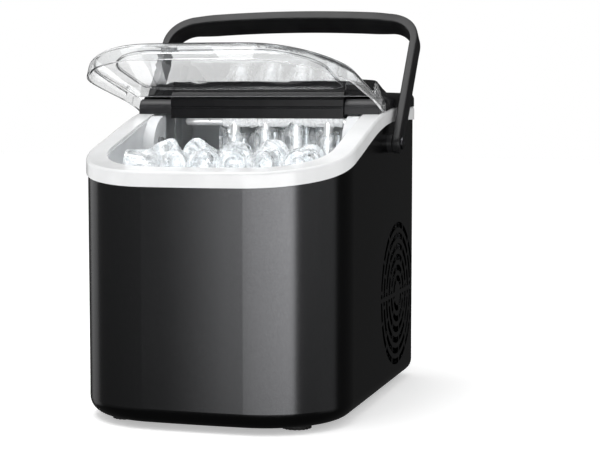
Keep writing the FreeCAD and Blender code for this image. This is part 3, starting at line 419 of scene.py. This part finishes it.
def bullet_profile(length):
    """Radius and height along one ice bullet, from the bore's end out to the dome."""
    bore = 0.6 * length
    profile = [(0.0004, bore + 0.0008), (CORE_R * 0.75, bore), (CORE_R, bore - 0.0012)]
    profile += [(CORE_R + 0.0002 * k, bore * (1 - k / 5)) for k in range(1, 5)]
    profile += [(CORE_R + 0.0016, 0.0002), (BULLET_R - 0.0022, 0.0), (BULLET_R - 0.0005, 0.0009)]
    profile += [(BULLET_R, 0.0009 + (length - 0.0075) * k / 8) for k in range(1, 9)]
    for k in range(1, 8):
        a = math.radians(90.0 * k / 8)
        profile.append((BULLET_R - 0.006 + 0.006 * math.cos(a), length - 0.006 + 0.006 * math.sin(a)))
    profile += [(0.0030, length), (0.0004, length)]
    return profile


def add_bullet(mesh, place, seed, crown=0.0):
    """Ice bullet along +Z of place, centred on it, worn by a seeded melt.
    crown is how far its open end rises and falls."""
    around = 28
    shift = Vector((seed * 3.17, seed * 1.91, seed * 0.73))
    rings = []
    for radius, height in bullet_profile(BULLET_L):
        ring = []
        for k in range(around):
            a = 2 * math.pi * k / around
            spot = Vector((radius * math.cos(a), radius * math.sin(a), height))
            facet = noise.noise(spot * 130 + shift)
            ripple = noise.noise(spot * 420 + shift)
            melt = 1 - MELT * (0.5 + facet) - RIPPLE * (0.5 + ripple)
            lift = crown * max(0.0, 1 - height / 0.010) * (0.5 + noise.noise(
                Vector((math.cos(a) * 2.2, math.sin(a) * 2.2, 0)) + shift))
            ring.append(place @ Vector((spot.x * melt, spot.y * melt,
                                        spot.z + lift - BULLET_L / 2)))
        rings.append(ring)
    skin(mesh, rings)


def bullet_place(x, y, z, azimuth, tilt):
    """Lean from upright by tilt towards azimuth, as the CAD source places its bullets."""
    return (Matrix.Translation((x, depth(y), z))
            @ Matrix.Rotation(math.radians(azimuth), 4, "Z")
            @ Matrix.Rotation(math.radians(tilt), 4, "Y"))


HEAP = [(-60, 48, 8, 90), (-29, 47, 96, 90), (-4, 46, 84, 90), (20, 46, 100, 90),
        (44.5, 47, 90, 90), (69, 55, 110, 90), (-50, 84, 200, 20), (-20, 81, 75, 118),
        (10, 80, 105, 112), (41, 81, 80, 60), (71, 86, 95, 75), (-64, 114, 0, 80),
        (-33, 114, 180, 62), (0, 113, 10, 75), (31, 114, 175, 66), (62.5, 114, 0, 84)]


def basket_ice():
    first = BASKET_FLOOR + BASKET_T + BULLET_R + ICE_GAP
    layer = 2 * BULLET_R + ICE_GAP
    places = []
    for row, columns in enumerate((4, 5, 5, 5)):
        for k in range(columns):
            places.append(bullet_place(0.028 * (k - (columns - 1) / 2), 0.042 + 0.024 * row,
                                       first, 0, 90))
    for row, columns in enumerate((5, 7, 7)):
        for k in range(columns):
            places.append(bullet_place(0.0236 * (k - (columns - 1) / 2), 0.047 + 0.028 * row,
                                       first + layer, 90 + 180 * (k % 2), 90))
    for x, y, azimuth, tilt in HEAP:
        lean = math.radians(tilt)
        reach = BULLET_L / 2 * abs(math.cos(lean)) + BULLET_R * math.sin(lean)
        places.append(bullet_place(x / 1000, y / 1000,
                                   first + layer + BULLET_R + ICE_GAP + reach, azimuth, tilt))
    mesh = bmesh.new()
    for seed, place in enumerate(places):
        add_bullet(mesh, place, seed + 1)
    return new_piece("basket_ice", mesh, "cabinet", "clear_ice", ["ice_in_basket"])


def finger_places():
    front = [(FINGER_PITCH * k, FRONT_ROW_Y) for k in range(-1, 3)]
    return front + [(FINGER_PITCH * (k + 0.5), BACK_ROW_Y) for k in range(-2, 2)]


def finger_ice():
    mesh = bmesh.new()
    for k, (x, y) in enumerate(finger_places()):
        base = ICE_FOOT_Z + 0.0022 * ((k * 2) % 5)
        place = (Matrix.Translation((x, depth(y), base + BULLET_L / 2))
                 @ Matrix.Rotation(math.pi, 4, "X"))
        add_bullet(mesh, place, 60 + k, crown=-0.006)
    return new_piece("finger_ice", mesh, "cabinet", "clear_ice", ["ice_on_fingers"])


def tube_frost():
    """Rime round the front run of the cold tube."""
    mesh = bmesh.new()
    rings = []
    for k in range(121):
        x = FROST_LEFT + FROST_LENGTH * k / 120
        ring = []
        for j in range(20):
            a = 2 * math.pi * j / 20
            grow = FROST_R + 0.0011 * (0.5 + noise.noise(Vector((x * 300, a * 1.6, 2.0))))
            if k in (0, 120):
                grow = 0.0036
            ring.append(Vector((x, depth(FRONT_ROW_Y) + grow * math.cos(a),
                                MANIFOLD_Z + min(grow * math.sin(a), 0.0034))))
        rings.append(ring)
    skin(mesh, rings)
    return new_piece("tube_frost", mesh, "cabinet", "frost")


def window_plan():
    """Outline of the lid's window in plan, with large front corners and small rear ones."""
    points = []
    for cx, cy, radius, start in ((1, -1, WINDOW_R, 270), (1, 1, WINDOW_REAR_R, 0),
                                  (-1, 1, WINDOW_REAR_R, 90), (-1, -1, WINDOW_R, 180)):
        x = cx * (WINDOW_HW - radius)
        y = WINDOW_FRONT + radius if cy < 0 else WINDOW_BACK - radius
        for k in range(13):
            a = math.radians(start + 7.5 * k)
            points.append((x + radius * math.cos(a), y + radius * math.sin(a)))
    dense = []
    for (x0, y0), (x1, y1) in zip(points, points[1:] + points[:1]):
        steps = max(1, round(math.hypot(x1 - x0, y1 - y0) / 0.006))
        dense += [(x0 + (x1 - x0) * k / steps, y0 + (y1 - y0) * k / steps) for k in range(steps)]
    return dense


def window_line():
    """Thin dark grey line round the lid's window, lying on the bead: painted shade standing in for
    the dark line that the bead's bend shows through the clear lid.
    """
    hinge = Vector((0, depth(HINGE_Y), HINGE_Z))
    swing = (Matrix.Translation(hinge) @ Matrix.Rotation(math.radians(-LID_OPEN), 4, "X")
             @ Matrix.Translation(-hinge))
    tree = BVHTree.FromObject(NODES["lid"], bpy.context.evaluated_depsgraph_get())
    down = (swing.to_3x3() @ Vector((0, 0, -1))).normalized()
    middle = []
    for x, y in window_plan():
        start = swing @ Vector((x * 0.988, depth(y), 0.32))
        hit = tree.ray_cast(start, down)[0]
        middle.append(hit - down * 0.00005)
    rings = []
    for k, spot in enumerate(middle):
        along = (middle[(k + 1) % len(middle)] - middle[k - 1]).normalized()
        side = along.cross(down).normalized()
        rings.append([spot + side * 0.0007 * math.cos(a) - down * 0.0004 * math.sin(a)
                      for a in [math.pi * j / 4 for j in range(8)]])
    mesh = bmesh.new()
    skin(mesh, rings, closed=True)
    return new_piece("window_line", mesh, "lid", "window_line_shade")


carry_handle()
window_line()
TUB_PIECES = [basket_ice(), finger_ice(), tube_frost()]


# ---- floor, light and camera ----
PANEL_R = 2.2


def emitter(name, points, faces, strength, ramp=None):
    """Glowing panel that only reflections show. ramp gives each point's share of the glow."""
    data = bpy.data.meshes.new(name)
    data.from_pydata(points, [], faces)
    obj = bpy.data.objects.new(name, data)
    SCENE.collection.objects.link(obj)
    material = bpy.data.materials.new(name)
    material.use_nodes = True
    nodes, links = material.node_tree.nodes, material.node_tree.links
    nodes.clear()
    glow = nodes.new("ShaderNodeEmission")
    glow.inputs["Strength"].default_value = strength
    out = nodes.new("ShaderNodeOutputMaterial")
    links.new(glow.outputs["Emission"], out.inputs["Surface"])
    if ramp:
        layer = data.color_attributes.new("glow", "FLOAT_COLOR", "POINT")
        for each, value in zip(layer.data, ramp):
            each.color = (value, value, value, 1)
        shade = nodes.new("ShaderNodeVertexColor")
        shade.layer_name = "glow"
        links.new(shade.outputs["Color"], glow.inputs["Color"])
    data.materials.append(material)
    obj.visible_camera = False
    obj.visible_transmission = False
    obj.visible_diffuse = False
    obj.visible_shadow = False
    return obj


def front_glow(share):
    """Brightness across the front panel: a quick rise, then a slow one to its right edge."""
    return 0.10 + 1.65 * smooth((share - 0.02) / 0.22) + 1.50 * share


def curved_panel(name, start, end, low, high, profile):
    """Upright cylindrical panel round the object, from azimuth start to end, 0 being the front.
    Its glow follows profile across, and grows upwards."""
    steps = 60
    points, glow = [], []
    for k in range(steps + 1):
        share = k / steps
        a = math.radians(start + (end - start) * share)
        for z, level in ((low, 0.55), (high, 1.6)):
            points.append((PANEL_R * math.sin(a), -PANEL_R * math.cos(a), z))
            glow.append(level * profile(share))
    faces = [(2 * k, 2 * k + 2, 2 * k + 3, 2 * k + 1) for k in range(steps)]
    return emitter(name, points, faces, 1.0, glow)


def make_floor():
    data = bpy.data.meshes.new("floor")
    size = 6.0
    data.from_pydata([(-size, -size, 0), (size, -size, 0), (size, size, 0), (-size, size, 0)], [],
                     [(0, 1, 2, 3)])
    obj = bpy.data.objects.new("floor", data)
    SCENE.collection.objects.link(obj)
    made = Surface("floor_paper", (0.93, 0.93, 0.93), 0.9, Emission_Color=(1, 1, 1, 1),
                   Emission_Strength=0.42)
    made.colour(made.noise(3, 2), (0.3, (0.925, 0.925, 0.925)), (0.7, (0.94, 0.94, 0.94)))
    data.materials.append(made.material)
    obj.visible_glossy = False


def make_world():
    """White surroundings for the view and for clear pieces, dim ones for reflections."""
    world = bpy.data.worlds.new("studio")
    world.use_nodes = True
    SCENE.world = world
    nodes, links = world.node_tree.nodes, world.node_tree.links
    nodes.clear()
    path = nodes.new("ShaderNodeLightPath")
    out = nodes.new("ShaderNodeOutputWorld")
    level = {}
    for name, value in (("diffuse", 0.66), ("gloss", 1.0), ("view", 1.0)):
        level[name] = nodes.new("ShaderNodeBackground")
        level[name].inputs["Color"].default_value = (value, value, value, 1)
    spot = nodes.new("ShaderNodeTexCoord")
    axes = nodes.new("ShaderNodeSeparateXYZ")
    links.new(spot.outputs["Generated"], axes.inputs[0])
    fade = nodes.new("ShaderNodeMapRange")
    fade.interpolation_type = "SMOOTHSTEP"
    for socket, value in (("From Min", 0.5), ("From Max", 0.95), ("To Min", 0.035),
                          ("To Max", 0.9)):
        fade.inputs[socket].default_value = value
    links.new(axes.outputs["Z"], fade.inputs["Value"])
    links.new(fade.outputs["Result"], level["gloss"].inputs["Strength"])
    dim = nodes.new("ShaderNodeMixShader")
    links.new(path.outputs["Is Glossy Ray"], dim.inputs["Fac"])
    links.new(level["diffuse"].outputs[0], dim.inputs[1])
    links.new(level["gloss"].outputs[0], dim.inputs[2])
    seen = nodes.new("ShaderNodeMath")
    seen.operation = "MAXIMUM"
    links.new(path.outputs["Is Camera Ray"], seen.inputs[0])
    links.new(path.outputs["Is Transmission Ray"], seen.inputs[1])
    last = nodes.new("ShaderNodeMixShader")
    links.new(seen.outputs[0], last.inputs["Fac"])
    links.new(dim.outputs[0], last.inputs[1])
    links.new(level["view"].outputs[0], last.inputs[2])
    links.new(last.outputs[0], out.inputs["Surface"])


def make_camera():
    data = bpy.data.cameras.new("camera")
    data.sensor_width = 36.0
    data.lens = 90.88
    obj = bpy.data.objects.new("camera", data)
    obj.location = (0.40605, -1.24711, 0.25418)
    obj.rotation_euler = (math.radians(90 - 4.508), 0, math.radians(16.252))
    SCENE.collection.objects.link(obj)
    SCENE.camera = obj


def hang(lamp, place, aim):
    """Puts a lamp in the scene at place, shining towards aim."""
    obj = bpy.data.objects.new(lamp.name, lamp)
    obj.location = place
    obj.rotation_euler = (Vector(aim) - Vector(place)).to_track_quat("-Z", "Y").to_euler()
    SCENE.collection.objects.link(obj)
    return obj


def softbox(name, place, aim, width, height, power):
    lamp = bpy.data.lights.new(name, "AREA")
    lamp.shape = "RECTANGLE"
    lamp.size, lamp.size_y, lamp.energy = width, height, power
    hang(lamp, place, aim)


def tub_lamp(place, aim, power, lit):
    """Lamp that lights only the objects in lit, and takes shadows from them alone."""
    lamp = bpy.data.lights.new("tub_lamp", "SPOT")
    lamp.energy, lamp.shadow_soft_size = power, 0.05
    lamp.spot_size, lamp.spot_blend = math.radians(16), 0.3
    obj = hang(lamp, place, aim)
    group = bpy.data.collections.new("lit_in_tub")
    for each in lit:
        group.objects.link(each)
    obj.light_linking.receiver_collection = group
    obj.light_linking.blocker_collection = group


SCENE.view_settings.view_transform = "Standard"
make_world()
make_floor()
make_camera()
curved_panel("front_panel", -24, 51, -0.60, 0.40, front_glow)
curved_panel("edge_panel", -126, -100, -0.8, 0.8, lambda share: 0.50)
curved_panel("corner_panel", 51, 84, -0.6, 0.4, lambda share: 0.34)
curved_panel("side_panel", 84, 112, -0.8, 0.8, lambda share: 0.34)
curved_panel("left_panel", -98, -24, -0.8, 0.8, lambda share: 0.12 + 0.08 * share)
softbox("top_light", (-0.3, -0.3, 1.5), (0, 0, 0.2), 1.2, 0.9, 12.0)
tub_lamp((-0.12, -1.40, 0.44), (0.01, 0.0, 0.240), 75.0,
         [*TUB_PIECES, NODES["evaporator_fingers"], NODES["evaporator_manifold"]])
